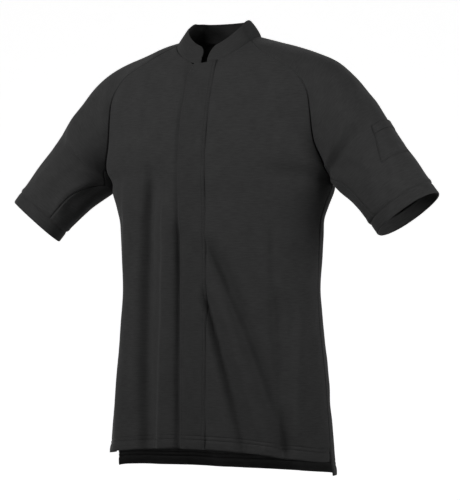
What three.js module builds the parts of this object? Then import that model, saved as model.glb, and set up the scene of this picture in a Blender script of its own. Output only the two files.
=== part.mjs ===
// A short-sleeved chef jacket in its worn, hollow shape: two fronts with a fly band, a longer back,
// raglan sleeves with underarm panels and cuffs, a low standing collar and a pen pocket on the left sleeve.
// Millimetres, +Z up, the front towards -Y, the wearer's left at +X. The origin is the middle of the neck
// opening, level with the collar seam at the sides of the neck.
import * as THREE from "three";

// Cloth and seams
const CLOTH = 1.6;
const DOUBLE_CLOTH = 2.2;
const HALF_SEAM_GAP = 0.15;
const INNER_SEAM_RELIEF = 0.45;

// Fly band down the front, and the right front's edge that lies behind it
const BAND_HALF_WIDTH = 25;
const BAND_PROUD = 0.7;
// Near the neck the free edge is drawn in by this share of the half width, from this row on
const BAND_DRAWN_IN = 0.4;
const BAND_DRAWN_FROM = 0.9;
const UNDERLAP_PAST_CENTRE = 17;
const UNDERLAP_DROP = 2.1;
const UNDERLAP_SLOPE_WIDTH = 12;
const UNDERLAP_BELOW_NECK = 0.008;

// Collar
const COLLAR_RISE = 30;
const COLLAR_LEAN = 20;
const COLLAR_SEAM_CLEARANCE = 0.5;
const COLLAR_CORNER = 17;
const COLLAR_END_HEIGHT = 0.42;
const COLLAR_LEFT_END = 9;
const COLLAR_RIGHT_END = 3.5;
const NECK_MIDDLE_Y = 0;

// Cuffs
const CUFF_HEIGHT = 22;
const CUFF_STEP_IN = 0.8;
const CUFF_SEAM_GAP = 0.3;

// Pen pocket on the left sleeve, along the arm and round it
const POCKET_TOP = 1.0;
const POCKET_BAND_END = 1.095;
const POCKET_BOTTOM = 1.5;
const POCKET_FRONT = 0.225;
const POCKET_BACK = 0.12;
const POCKET_SLANT = 0.24;
const POCKET_OFF_SLEEVE = 0.5;
const POCKET_SEAM = 0.003;
const POCKET_BAND_CLOTH = 2.0;
const POCKET_CLOTH = 1.2;

// Mesh steps
const BODY_ROWS = 13;
const SEAM_ROWS = 14;
const ARM_ROWS = 6;
const FRONT_COLUMNS = 13;
const HALF_ARM_COLUMNS = 12;
const UNDERARM_ROWS_ON_SEAM = 2;
const COLLAR_HALF_COLUMNS = 20;
const COLLAR_ROWS = 4;
const CUFF_COLUMNS = 36;
const CUFF_ROWS = 2;
const POCKET_ROWS = 12;
const POCKET_COLUMNS = 9;
// Step along a form, as a share of it, between the two points that give its slope
const STEP = 0.01;

// A panel's rows run from the middle of the front or back (mid) to the side seam, and above the armpit to
// the raglan seam (edge). "at" is 0 at the hem and 1 at the neck. A row leaves the middle straight sideways
// and reaches its edge along (dir_x, dir_y, dir_z). The pulls say how far it keeps to each direction.
const ARMPIT_AT = 0.57;
const FRONT = [
  {
    at: 0, mid_y: -114, mid_z: -712, edge_x: 208, edge_y: -6, edge_z: -734,
    dir_x: 0, dir_y: 1, dir_z: 0, mid_pull: 132, edge_pull: 66,
  },
  {
    at: 0.04, mid_y: -114, mid_z: -682, edge_x: 206, edge_y: 0, edge_z: -702,
    dir_x: 0, dir_y: 1, dir_z: 0, mid_pull: 130, edge_pull: 66,
  },
  {
    at: 0.165, mid_y: -114, mid_z: -590, edge_x: 198, edge_y: 0, edge_z: -600,
    dir_x: 0, dir_y: 1, dir_z: 0, mid_pull: 122, edge_pull: 66,
  },
  {
    at: 0.35, mid_y: -112, mid_z: -444, edge_x: 184, edge_y: 0, edge_z: -447,
    dir_x: 0, dir_y: 1, dir_z: 0, mid_pull: 114, edge_pull: 66,
  },
  {
    at: 0.49, mid_y: -115, mid_z: -325, edge_x: 188, edge_y: 0, edge_z: -330,
    dir_x: 0, dir_y: 1, dir_z: 0, mid_pull: 117, edge_pull: 68,
  },
  {
    at: 0.53, mid_y: -116, mid_z: -289, edge_x: 197, edge_y: 0, edge_z: -297,
    dir_x: 0, dir_y: 1, dir_z: 0, mid_pull: 121, edge_pull: 68,
  },
  {
    at: 0.57, mid_y: -117, mid_z: -252, edge_x: 210, edge_y: 0, edge_z: -264,
    dir_x: 0.1, dir_y: 1, dir_z: 0, mid_pull: 124, edge_pull: 62,
  },
  {
    at: 0.624, mid_y: -116, mid_z: -220, edge_x: 209, edge_y: -36, edge_z: -232,
    dir_x: 0.5, dir_y: 0.85, dir_z: 0, mid_pull: 116, edge_pull: 48,
  },
  {
    at: 0.687, mid_y: -112, mid_z: -184, edge_x: 197, edge_y: -53, edge_z: -190,
    dir_x: 0.68, dir_y: 0.73, dir_z: 0, mid_pull: 102, edge_pull: 46,
  },
  {
    at: 0.783, mid_y: -101, mid_z: -134, edge_x: 189, edge_y: -58, edge_z: -116,
    dir_x: 0.88, dir_y: 0.46, dir_z: 0.1, mid_pull: 84, edge_pull: 58,
  },
  {
    at: 0.846, mid_y: -92, mid_z: -106, edge_x: 164, edge_y: -59, edge_z: -74,
    dir_x: 0.86, dir_y: 0.34, dir_z: 0.38, mid_pull: 65, edge_pull: 54,
  },
  {
    at: 0.924, mid_y: -82, mid_z: -77, edge_x: 112, edge_y: -55, edge_z: -42,
    dir_x: 0.7, dir_y: 0.42, dir_z: 0.58, mid_pull: 44, edge_pull: 36,
  },
  {
    at: 1, mid_y: -74, mid_z: -54, edge_x: 71, edge_y: -28, edge_z: -14,
    dir_x: 0.15, dir_y: 0.87, dir_z: 0.46, mid_pull: 34, edge_pull: 26,
  },
];
const BACK = [
  {
    at: 0, mid_y: 118, mid_z: -765, edge_x: 210, edge_y: 7, edge_z: -759,
    dir_x: 0, dir_y: -1, dir_z: 0, mid_pull: 130, edge_pull: 62,
  },
  {
    at: 0.07, mid_y: 117, mid_z: -705, edge_x: 206, edge_y: 0, edge_z: -702,
    dir_x: 0, dir_y: -1, dir_z: 0, mid_pull: 127, edge_pull: 64,
  },
  {
    at: 0.165, mid_y: 113, mid_z: -605, edge_x: 198, edge_y: 0, edge_z: -600,
    dir_x: 0, dir_y: -1, dir_z: 0, mid_pull: 121, edge_pull: 64,
  },
  {
    at: 0.35, mid_y: 100, mid_z: -447, edge_x: 184, edge_y: 0, edge_z: -447,
    dir_x: 0, dir_y: -1, dir_z: 0, mid_pull: 112, edge_pull: 58,
  },
  {
    at: 0.49, mid_y: 108, mid_z: -330, edge_x: 188, edge_y: 0, edge_z: -330,
    dir_x: 0, dir_y: -1, dir_z: 0, mid_pull: 122, edge_pull: 67,
  },
  {
    at: 0.53, mid_y: 111, mid_z: -295, edge_x: 197, edge_y: 0, edge_z: -297,
    dir_x: 0, dir_y: -1, dir_z: 0, mid_pull: 128, edge_pull: 70,
  },
  {
    at: 0.57, mid_y: 113, mid_z: -260, edge_x: 210, edge_y: 0, edge_z: -264,
    dir_x: 0.1, dir_y: -1, dir_z: 0, mid_pull: 132, edge_pull: 70,
  },
  {
    at: 0.624, mid_y: 115, mid_z: -226, edge_x: 209, edge_y: 26, edge_z: -236,
    dir_x: 0.5, dir_y: -0.85, dir_z: 0, mid_pull: 114, edge_pull: 48,
  },
  {
    at: 0.687, mid_y: 115, mid_z: -186, edge_x: 199, edge_y: 50, edge_z: -194,
    dir_x: 0.68, dir_y: -0.73, dir_z: 0, mid_pull: 100, edge_pull: 46,
  },
  {
    at: 0.783, mid_y: 109, mid_z: -120, edge_x: 190, edge_y: 63, edge_z: -118,
    dir_x: 0.9, dir_y: -0.42, dir_z: 0.1, mid_pull: 84, edge_pull: 56,
  },
  {
    at: 0.846, mid_y: 98, mid_z: -74, edge_x: 163, edge_y: 67, edge_z: -68,
    dir_x: 0.88, dir_y: -0.3, dir_z: 0.36, mid_pull: 65, edge_pull: 50,
  },
  {
    at: 0.924, mid_y: 80, mid_z: -36, edge_x: 110, edge_y: 58, edge_z: -26,
    dir_x: 0.74, dir_y: -0.46, dir_z: 0.4, mid_pull: 42, edge_pull: 32,
  },
  {
    at: 1, mid_y: 57, mid_z: -2, edge_x: 59, edge_y: 36, edge_z: -2,
    dir_x: 0.55, dir_y: -0.83, dir_z: 0, mid_pull: 24, edge_pull: 14,
  },
];

// The sleeve from the neck (at 0) past the armpit (1) to the cuff seam (2): the line along its top, and
// below the armpit the line along its underside.
const ARM_TOP = [
  { at: 0, x: 72, y: 12, z: -3 },
  { at: 0.27, x: 144, y: 11, z: -26 },
  { at: 0.54, x: 219, y: 5, z: -56 },
  { at: 0.82, x: 277, y: 0, z: -116 },
  { at: 1, x: 310, y: -4, z: -160 },
  { at: 1.5, x: 352, y: -13, z: -214 },
  { at: 2, x: 393, y: -23, z: -266 },
];
const ARM_UNDER = [
  { at: 1, x: 210, y: 0, z: -264 },
  { at: 1.5, x: 252, y: -20, z: -292 },
  { at: 2, x: 297, y: -37, z: -337 },
];

// Each half of a sleeve's section leaves the seam or the underside along (dir_x, dir_y, dir_z) and comes
// over the top level along Y. The pulls are the lengths of these two directions.
const ARM_FRONT = [
  { at: 0, dir_x: 0.05, dir_y: 0.9, dir_z: 0.42, low_pull: 14, top_pull: 14 },
  { at: 0.18, dir_x: 0.12, dir_y: 0.68, dir_z: 0.72, low_pull: 24, top_pull: 28 },
  { at: 0.36, dir_x: 0.2, dir_y: 0.52, dir_z: 0.83, low_pull: 30, top_pull: 34 },
  { at: 0.505, dir_x: 0.42, dir_y: 0.02, dir_z: 0.9, low_pull: 40, top_pull: 42 },
  { at: 0.73, dir_x: 0.72, dir_y: -0.45, dir_z: 0.5, low_pull: 52, top_pull: 60 },
  { at: 0.875, dir_x: 0.45, dir_y: -0.87, dir_z: 0.2, low_pull: 74, top_pull: 78 },
  { at: 1, dir_x: 0.12, dir_y: -1, dir_z: 0.1, low_pull: 80, top_pull: 80 },
  { at: 1.5, dir_x: 0, dir_y: -1, dir_z: 0, low_pull: 80, top_pull: 74 },
  { at: 2, dir_x: 0, dir_y: -1, dir_z: 0, low_pull: 64, top_pull: 62 },
];
const ARM_BACK = [
  { at: 0, dir_x: 0.2, dir_y: -0.97, dir_z: 0, low_pull: 9, top_pull: 9 },
  { at: 0.18, dir_x: 0.2, dir_y: -0.78, dir_z: 0.58, low_pull: 22, top_pull: 24 },
  { at: 0.36, dir_x: 0.25, dir_y: -0.55, dir_z: 0.8, low_pull: 30, top_pull: 34 },
  { at: 0.505, dir_x: 0.45, dir_y: -0.02, dir_z: 0.9, low_pull: 42, top_pull: 44 },
  { at: 0.73, dir_x: 0.72, dir_y: 0.4, dir_z: 0.5, low_pull: 54, top_pull: 62 },
  { at: 0.875, dir_x: 0.45, dir_y: 0.87, dir_z: 0.2, low_pull: 72, top_pull: 78 },
  { at: 1, dir_x: 0.12, dir_y: 1, dir_z: 0.1, low_pull: 80, top_pull: 80 },
  { at: 1.5, dir_x: 0, dir_y: 1, dir_z: 0, low_pull: 78, top_pull: 74 },
  { at: 2, dir_x: 0, dir_y: 1, dir_z: 0, low_pull: 63, top_pull: 62 },
];

// The seam between sleeve and underarm panel leaves the raglan seam here and ends a share of each half
// section away from the underside.
const UNDERARM_FROM = 1 - UNDERARM_ROWS_ON_SEAM / SEAM_ROWS;
const UNDERARM_SHARE = 0.27;

// Folds as soft lines from one place to another. On the body x runs from the middle line to the wearer's
// left. On a sleeve x runs round from the underside, positive in front, and z along the arm from the neck.
// Depth is negative in a trough.
const FRONT_FOLDS = [
  { from_x: 46, from_z: -392, to_x: 160, to_z: -720, depth: -7, width: 20 },
  { from_x: 30, from_z: -470, to_x: 84, to_z: -720, depth: -5, width: 15 },
  { from_x: 120, from_z: -430, to_x: 190, to_z: -700, depth: 4, width: 22 },
  { from_x: -104, from_z: -360, to_x: -106, to_z: -700, depth: -5, width: 18 },
  { from_x: -62, from_z: -380, to_x: -72, to_z: -700, depth: 4, width: 20 },
  { from_x: -40, from_z: -540, to_x: -40, to_z: -710, depth: -3.5, width: 9 },
];
const BACK_FOLDS = [
  { from_x: 70, from_z: -300, to_x: 96, to_z: -750, depth: -6, width: 20 },
  { from_x: 24, from_z: -420, to_x: 30, to_z: -750, depth: 4, width: 18 },
  { from_x: -50, from_z: -330, to_x: -44, to_z: -740, depth: -6, width: 19 },
  { from_x: -120, from_z: -300, to_x: -138, to_z: -740, depth: -4, width: 20 },
];
const LEFT_ARM_FOLDS = [
  { from_x: 122, from_z: 240, to_x: 104, to_z: 390, depth: -4, width: 18 },
  { from_x: 60, from_z: 300, to_x: 78, to_z: 410, depth: 3, width: 18 },
  { from_x: -120, from_z: 240, to_x: -110, to_z: 390, depth: -4, width: 20 },
];
const RIGHT_ARM_FOLDS = [
  { from_x: 92, from_z: 250, to_x: 112, to_z: 400, depth: -4, width: 18 },
  { from_x: 150, from_z: 240, to_x: 165, to_z: 380, depth: -3, width: 20 },
  { from_x: -100, from_z: 250, to_x: -120, to_z: 400, depth: -4, width: 20 },
];
// How far the front of each cuff is drawn up the arm, and its back let down
const LEFT_ARM = { folds: LEFT_ARM_FOLDS, slant: 2 };
const RIGHT_ARM = { folds: RIGHT_ARM_FOLDS, slant: 13 };
const ARM_AXIS = { x: 0.62, y: -0.1, z: -0.78 };
const QUARTER_GIRTH = 250;
const ARM_UNIT = 215;
const FOLD_FREE_EDGE = 0.14;

const CHARCOAL = 0x2b2c2e;
const CHARCOAL_BAND = 0x27282a;

const vec = (x, y, z) => new THREE.Vector3(x, y, z);
const smooth = (t) => THREE.MathUtils.smoothstep(t, 0, 1);

/** Slope at one row of a column: the harmonic mean of the slopes to both sides, or none at a peak. */
function slopeAt(rows, i, key) {
  const slope = (k) => (rows[k + 1][key] - rows[k][key]) / (rows[k + 1].at - rows[k].at);
  if (i === 0) return slope(0);
  if (i === rows.length - 1) return slope(i - 1);
  const before = slope(i - 1);
  const after = slope(i);
  return before * after > 0 ? (2 * before * after) / (before + after) : 0;
}

/** Every column of a table at one place: a cubic between each two rows that never overshoots them. */
function read(rows, at) {
  let i = 0;
  while (i < rows.length - 2 && at > rows[i + 1].at) i += 1;
  const span = rows[i + 1].at - rows[i].at;
  const t = THREE.MathUtils.clamp((at - rows[i].at) / span, 0, 1);
  const values = {};
  for (const key of Object.keys(rows[0])) {
    const start = rows[i][key] * (1 + 2 * t) * (1 - t) ** 2;
    const end = rows[i + 1][key] * t * t * (3 - 2 * t);
    const bend = slopeAt(rows, i, key) * t * (1 - t) ** 2 - slopeAt(rows, i + 1, key) * t * t * (1 - t);
    values[key] = start + end + bend * span;
  }
  return values;
}

/** Height of the folds at one place: each is a bell across its line and fades past both of its ends. */
function foldHeight(folds, x, z) {
  let height = 0;
  for (const fold of folds) {
    const run = new THREE.Vector2(fold.to_x - fold.from_x, fold.to_z - fold.from_z);
    const length = run.length();
    const here = new THREE.Vector2(x - fold.from_x, z - fold.from_z);
    const along = here.dot(run) / length;
    const across = here.cross(run) / length;
    const fade = smooth(0.5 + along / (3 * fold.width)) * smooth(0.5 + (length - along) / (3 * fold.width));
    height += fold.depth * Math.exp(-((across / fold.width) ** 2)) * fade;
  }
  return height;
}

/** One row of the front or back, from the middle to the side or raglan seam. */
function bodyRow(rows, at) {
  const r = read(rows, at);
  const middle = vec(0, r.mid_y, r.mid_z);
  const edge = vec(r.edge_x, r.edge_y, r.edge_z);
  const arriving = vec(r.dir_x, r.dir_y, r.dir_z).setLength(r.edge_pull);
  const leaving = vec(r.mid_pull, 0, 0);
  return new THREE.CubicBezierCurve3(middle, middle.clone().add(leaving), edge.clone().sub(arriving), edge);
}

/** The share of a row at which it is a given distance from the middle line. */
function shareAtX(row, x) {
  let low = 0;
  let high = 1;
  for (let i = 0; i < 24; i += 1) {
    const half = (low + high) / 2;
    if (row.getPoint(half).x < x) low = half;
    else high = half;
  }
  return (low + high) / 2;
}

/** A point of the front or back at a signed share of its row, lifted by the folds and by "lift". */
function bodyPoint(rows, folds, at, share, lift = 0) {
  const side = share < 0 ? -1 : 1;
  const row = bodyRow(rows, at);
  const point = row.getPoint(Math.abs(share));
  const forwards = row.getTangent(Math.abs(share));
  const upwards = bodyRow(rows, Math.min(at + STEP, 1)).getPoint(Math.abs(share))
    .sub(bodyRow(rows, at - STEP).getPoint(Math.abs(share)));
  const out = forwards.cross(upwards).normalize();
  if (rows === BACK) out.negate();
  const calm = smooth((1 - Math.abs(share)) / FOLD_FREE_EDGE) * smooth((1 - at) / FOLD_FREE_EDGE);
  const fold = foldHeight(folds, share * QUARTER_GIRTH, point.z) * calm;
  point.addScaledVector(out, fold + lift);
  return vec(side * point.x, point.y, point.z);
}

/** The place on the rows of the front or back of a place along the sleeve above the armpit. */
const seamAt = (along) => 1 - (1 - ARMPIT_AT) * along;

/** A plain point of the sleeve: "along" from the neck to the cuff, "round" from the seam or underside (0)
 *  to the top (1) of the front or back half. */
function armForm(rows, pulls, along, round, slant = 0) {
  const seam = read(rows, seamAt(Math.min(along, 1)));
  const under = read(ARM_UNDER, Math.max(along, 1));
  const low = along < 1 ? vec(seam.edge_x, seam.edge_y, seam.edge_z) : vec(under.x, under.y, under.z);
  const t = read(ARM_TOP, along);
  const top = vec(t.x, t.y, t.z);
  const p = read(pulls, along);
  const leaving = vec(p.dir_x, p.dir_y, p.dir_z).setLength(p.low_pull);
  const overTop = vec(0, rows === FRONT ? -p.top_pull : p.top_pull, 0);
  const half = new THREE.CubicBezierCurve3(low, low.clone().add(leaving), top.clone().add(overTop), top);
  const point = half.getPoint(round);
  const drawn = slant * smooth(along - 1) * 4 * round * (1 - round);
  return point.addScaledVector(vec(ARM_AXIS.x, ARM_AXIS.y, ARM_AXIS.z), rows === FRONT ? -drawn : drawn);
}

/** A point of the sleeve at a signed round: -1 and 1 at the underside (front and back), 0 at the top. */
function armPoint({ folds, slant }, along, turn, lift = 0) {
  const rows = turn <= 0 ? FRONT : BACK;
  const pulls = turn <= 0 ? ARM_FRONT : ARM_BACK;
  const round = 1 - Math.abs(turn);
  const inner = Math.max(round - STEP, 0);
  const outer = Math.min(round + STEP, 1);
  const acrossArm = armForm(rows, pulls, along, outer, slant).sub(armForm(rows, pulls, along, inner, slant));
  const alongArm = armForm(rows, pulls, Math.min(along + STEP, 2), round, slant)
    .sub(armForm(rows, pulls, Math.max(along - STEP, 0), round, slant));
  const out = alongArm.cross(acrossArm).normalize();
  if (turn > 0) out.negate();
  const calm = smooth((2 - along) / FOLD_FREE_EDGE) * (along < 1 ? smooth(round / (2 * FOLD_FREE_EDGE)) : 1);
  const fold = foldHeight(folds, (turn <= 0 ? 1 : -1) * round * ARM_UNIT, along * ARM_UNIT) * calm;
  return armForm(rows, pulls, along, round, slant).addScaledVector(out, fold + lift);
}

/** How far round a half section the underarm panel reaches: none where it leaves the raglan seam. */
function underarmShare(along) {
  const run = THREE.MathUtils.clamp((along - UNDERARM_FROM) / (2 - UNDERARM_FROM), 0, 1);
  return UNDERARM_SHARE * (1 - (1 - run) ** 5);
}

/** A closed wall from a grid of points on the cloth's outer face. The inner face lies one thickness behind
 *  it, seen from "core", a point inside the garment. Edges marked as seams are drawn back a little. */
function clothWall(name, grid, shape) {
  const { thickness = CLOTH, core, seams = {}, ring = false, color = CHARCOAL } = shape;
  const rows = grid.length;
  const columns = grid[0].length;
  const column = (j) => (ring ? (j + columns) % columns : THREE.MathUtils.clamp(j, 0, columns - 1));
  const row = (i) => THREE.MathUtils.clamp(i, 0, rows - 1);
  let facing = 0;
  const normals = grid.map((line, i) => line.map((point, j) => {
    const down = grid[row(i + 1)][j].clone().sub(grid[row(i - 1)][j]);
    const sideways = grid[i][column(j + 1)].clone().sub(grid[i][column(j - 1)]);
    const normal = down.cross(sideways).normalize();
    facing += normal.dot(point.clone().sub(core));
    return normal;
  }));
  const turned = Math.sign(facing);
  const drawBack = (i, j, distance) => {
    const point = grid[i][j].clone();
    const pullTo = (target) => point.addScaledVector(target.clone().sub(grid[i][j]).normalize(), distance);
    if (seams.first && i === 0) pullTo(grid[1][j]);
    if (seams.last && i === rows - 1) pullTo(grid[rows - 2][j]);
    if (seams.left && j === 0) pullTo(grid[i][1]);
    if (seams.right && j === columns - 1) pullTo(grid[i][columns - 2]);
    return point;
  };
  const outer = grid.map((line, i) => line.map((_, j) => drawBack(i, j, HALF_SEAM_GAP)));
  const inner = grid.map((line, i) => line.map((_, j) => (
    drawBack(i, j, HALF_SEAM_GAP + INNER_SEAM_RELIEF).addScaledVector(normals[i][j], -turned * thickness)
  )));
  const positions = [outer, inner].flat(2).flatMap((p) => [p.x, p.y, p.z]);
  const index = [];
  const id = (face, i, j) => face * rows * columns + i * columns + column(j);
  const quad = (a, b, c, d) => (turned > 0 ? index.push(a, b, c, a, c, d) : index.push(a, c, b, a, d, c));
  for (let i = 0; i < rows - 1; i += 1) {
    for (let j = 0; j < columns - (ring ? 0 : 1); j += 1) {
      quad(id(0, i, j), id(0, i + 1, j), id(0, i + 1, j + 1), id(0, i, j + 1));
      quad(id(1, i, j), id(1, i, j + 1), id(1, i + 1, j + 1), id(1, i + 1, j));
    }
  }
  for (let j = 0; j < columns - (ring ? 0 : 1); j += 1) {
    quad(id(0, 0, j), id(0, 0, j + 1), id(1, 0, j + 1), id(1, 0, j));
    quad(id(0, rows - 1, j), id(1, rows - 1, j), id(1, rows - 1, j + 1), id(0, rows - 1, j + 1));
  }
  for (let i = 0; i < rows - 1 && !ring; i += 1) {
    quad(id(0, i, 0), id(1, i, 0), id(1, i + 1, 0), id(0, i + 1, 0));
    quad(id(0, i, columns - 1), id(0, i + 1, columns - 1), id(1, i + 1, columns - 1), id(1, i, columns - 1));
  }
  const geometry = new THREE.BufferGeometry();
  geometry.setAttribute("position", new THREE.Float32BufferAttribute(positions, 3));
  geometry.setIndex(index);
  geometry.computeVertexNormals();
  const material = new THREE.MeshStandardMaterial({ color, roughness: 0.85, metalness: 0 });
  const mesh = new THREE.Mesh(geometry, material);
  mesh.name = name;
  return mesh;
}

/** Evenly spaced values, both ends included. */
function spread(count, from = 0, to = 1) {
  return Array.from({ length: count + 1 }, (_, i) => from + ((to - from) * i) / count);
}

const mirror = (grid) => grid.map((line) => line.map((p) => vec(-p.x, p.y, p.z)));

const bodyLevels = [...spread(BODY_ROWS, 0, ARMPIT_AT), ...spread(SEAM_ROWS, ARMPIT_AT, 1).slice(1)];
const armStations = [...spread(SEAM_ROWS), ...spread(ARM_ROWS, 1, 2).slice(1)];
const TORSO_CORE = vec(0, 0, -400);
const ARM_CORE = { left: vec(262, -12, -205), right: vec(-262, -12, -205) };
const CUFF_CORE = { left: vec(355, -31, -306), right: vec(-355, -31, -306) };
const SEWN_ALL_BUT_HEM = { last: true, left: true, right: true };

/** The left front, from the fly band's stitching to the left side seam. */
function frontLeft() {
  const grid = bodyLevels.map((at) => {
    const start = shareAtX(bodyRow(FRONT, at), BAND_HALF_WIDTH);
    return spread(FRONT_COLUMNS, start, 1).map((share) => bodyPoint(FRONT, FRONT_FOLDS, at, share));
  });
  return clothWall("front_left", grid, { core: TORSO_CORE, seams: SEWN_ALL_BUT_HEM });
}

/** The right front, whose edge steps back and passes behind the fly band. */
function frontRight() {
  const grid = bodyLevels.map((at) => {
    const row = bodyRow(FRONT, at);
    const lap = shareAtX(row, UNDERLAP_PAST_CENTRE);
    const edge = shareAtX(row, BAND_HALF_WIDTH);
    const step = shareAtX(row, BAND_HALF_WIDTH + UNDERLAP_SLOPE_WIDTH);
    const shares = [
      ...spread(2, lap, -edge),
      ...spread(2, -edge, -step).slice(1),
      ...spread(FRONT_COLUMNS - 2, -step, -1).slice(1),
    ];
    return shares.map((share) => {
      const sunk = smooth((share + step) / (step - edge));
      const highest = share > -edge ? 1 - UNDERLAP_BELOW_NECK : 1;
      return bodyPoint(FRONT, FRONT_FOLDS, Math.min(at, highest), share, -UNDERLAP_DROP * sunk);
    });
  });
  return clothWall("front_right", grid, { core: TORSO_CORE, seams: { last: true, right: true } });
}

/** The fly band: two layers, 50 mm wide, that hide the fastening. Its left edge (as seen) is free. */
function flyBand() {
  const grid = bodyLevels.map((at) => {
    const edge = shareAtX(bodyRow(FRONT, at), BAND_HALF_WIDTH);
    const free = edge * (1 - BAND_DRAWN_IN * smooth((at - BAND_DRAWN_FROM) / (1 - BAND_DRAWN_FROM)));
    return spread(4, -free, edge).map((share) => bodyPoint(FRONT, FRONT_FOLDS, at, share, BAND_PROUD));
  });
  return clothWall("fly_band", grid, {
    thickness: DOUBLE_CLOTH, core: TORSO_CORE, seams: { last: true, right: true }, color: CHARCOAL_BAND,
  });
}

/** The back in one piece, longer than the fronts. */
function back() {
  const grid = bodyLevels.map((at) => (
    spread(2 * (FRONT_COLUMNS - 1), -1, 1).map((share) => bodyPoint(BACK, BACK_FOLDS, at, share))
  ));
  return clothWall("back", grid, { core: TORSO_CORE, seams: SEWN_ALL_BUT_HEM });
}

/** A raglan sleeve from the neck to the cuff, open where the underarm panel is let in. */
function sleeveGrid(arm) {
  return armStations.map((along) => {
    const half = 1 - underarmShare(along);
    return spread(2 * HALF_ARM_COLUMNS, -half, half).map((turn) => armPoint(arm, along, turn));
  });
}

/** The underarm panel. Its upper edge follows the raglan seam down to the armpit and up again. */
function underarmGrid(arm) {
  const stations = armStations.slice(SEAM_ROWS - UNDERARM_ROWS_ON_SEAM);
  return stations.map((station) => {
    const run = (station - UNDERARM_FROM) / (2 - UNDERARM_FROM);
    const reach = underarmShare(station);
    return spread(2 * UNDERARM_ROWS_ON_SEAM, -1, 1).map((across) => {
      const start = 1 - (1 - UNDERARM_FROM) * Math.abs(across);
      const along = start + (2 - start) * run;
      const turn = (across <= 0 ? -1 : 1) * (1 - Math.abs(across) * reach);
      return armPoint(arm, along, turn);
    });
  });
}

/** A cuff: a doubled band round the sleeve's end, in line with the last part of the sleeve. */
function cuffGrid(arm) {
  return spread(CUFF_ROWS).map((down) => Array.from({ length: CUFF_COLUMNS }, (_, k) => {
    const turn = -1 + (2 * k) / CUFF_COLUMNS;
    return armPoint(arm, 2, turn, -CUFF_STEP_IN)
      .addScaledVector(vec(ARM_AXIS.x, ARM_AXIS.y, ARM_AXIS.z), CUFF_SEAM_GAP + CUFF_HEIGHT * down);
  }));
}

/** Half of the neck seam as one line: front row, top of the sleeve, back row. */
function neckSeam() {
  const front = spread(10).map((share) => bodyRow(FRONT, 1).getPoint(share));
  const armFront = spread(5).slice(1).map((round) => armForm(FRONT, ARM_FRONT, 0, round));
  const armBack = spread(5).slice(1).map((round) => armForm(BACK, ARM_BACK, 0, 1 - round));
  const behind = spread(8).slice(1).map((share) => bodyRow(BACK, 1).getPoint(1 - share));
  return new THREE.CatmullRomCurve3([...front, ...armFront, ...armBack, ...behind]);
}

/** The standing collar, leaning in all round, with rounded front corners and a gap between its ends. */
function collar() {
  const seam = neckSeam();
  const length = seam.getLength();
  const endShare = (x) => x / length;
  const shares = [
    ...spread(COLLAR_HALF_COLUMNS, endShare(COLLAR_LEFT_END), 1),
    ...spread(COLLAR_HALF_COLUMNS, -1, endShare(COLLAR_RIGHT_END) * -1).slice(1),
  ];
  const total = shares.length - 1;
  const columns = shares.map((share, k) => {
    const foot = seam.getPointAt(Math.abs(share));
    foot.x *= share < 0 ? -1 : 1;
    const inwards = vec(-foot.x, NECK_MIDDLE_Y - foot.y, 0).setLength(COLLAR_LEAN);
    const rise = inwards.add(vec(0, 0, COLLAR_RISE));
    const fromEnd = (Math.min(k, total - k) / COLLAR_HALF_COLUMNS) * length;
    const missing = Math.max(0, 1 - fromEnd / COLLAR_CORNER);
    const corner = 1 - (1 - COLLAR_END_HEIGHT) * (1 - Math.sqrt(1 - missing ** 2));
    return { foot, rise, corner };
  });
  const grid = spread(COLLAR_ROWS).map((up) => columns.map(({ foot, rise, corner }) => {
    const clear = COLLAR_SEAM_CLEARANCE / rise.length();
    return foot.clone().addScaledVector(rise, clear + (1 - clear) * up * corner);
  }));
  const core = vec(0, NECK_MIDDLE_Y, 0);
  return clothWall("collar", grid, { thickness: DOUBLE_CLOTH, core, color: CHARCOAL_BAND });
}

/** A patch laid on the left sleeve, a little clear of it. */
function sleevePatch(name, from, to, thickness) {
  const grid = spread(Math.max(2, Math.round((to - from) * POCKET_ROWS)), from, to).map((along) => (
    spread(POCKET_COLUMNS, -POCKET_FRONT, POCKET_BACK).map((turn) => (
      armPoint(LEFT_ARM, along, turn - POCKET_SLANT * (along - POCKET_TOP), POCKET_OFF_SLEEVE + thickness)
    ))
  ));
  return clothWall(name, grid, { thickness, core: ARM_CORE.left });
}

const jacket = new THREE.Group();
jacket.add(frontLeft(), frontRight(), flyBand(), back(), collar());
for (const side of ["left", "right"]) {
  const arm = side === "left" ? LEFT_ARM : RIGHT_ARM;
  const place = side === "left" ? (grid) => grid : mirror;
  const sewn = { core: ARM_CORE[side], seams: { first: true, last: true, left: true, right: true } };
  jacket.add(clothWall(`sleeve_${side}`, place(sleeveGrid(arm)), sewn));
  jacket.add(clothWall(`underarm_${side}`, place(underarmGrid(arm)), sewn));
  jacket.add(clothWall(`cuff_${side}`, place(cuffGrid(arm)), {
    thickness: DOUBLE_CLOTH, core: CUFF_CORE[side], seams: { first: true }, ring: true, color: CHARCOAL_BAND,
  }));
}
jacket.add(sleevePatch("pocket_band", POCKET_TOP, POCKET_BAND_END - POCKET_SEAM, POCKET_BAND_CLOTH));
jacket.add(sleevePatch("sleeve_pocket", POCKET_BAND_END, POCKET_BOTTOM, POCKET_CLOTH));

export default jacket;
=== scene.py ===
import math

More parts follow.
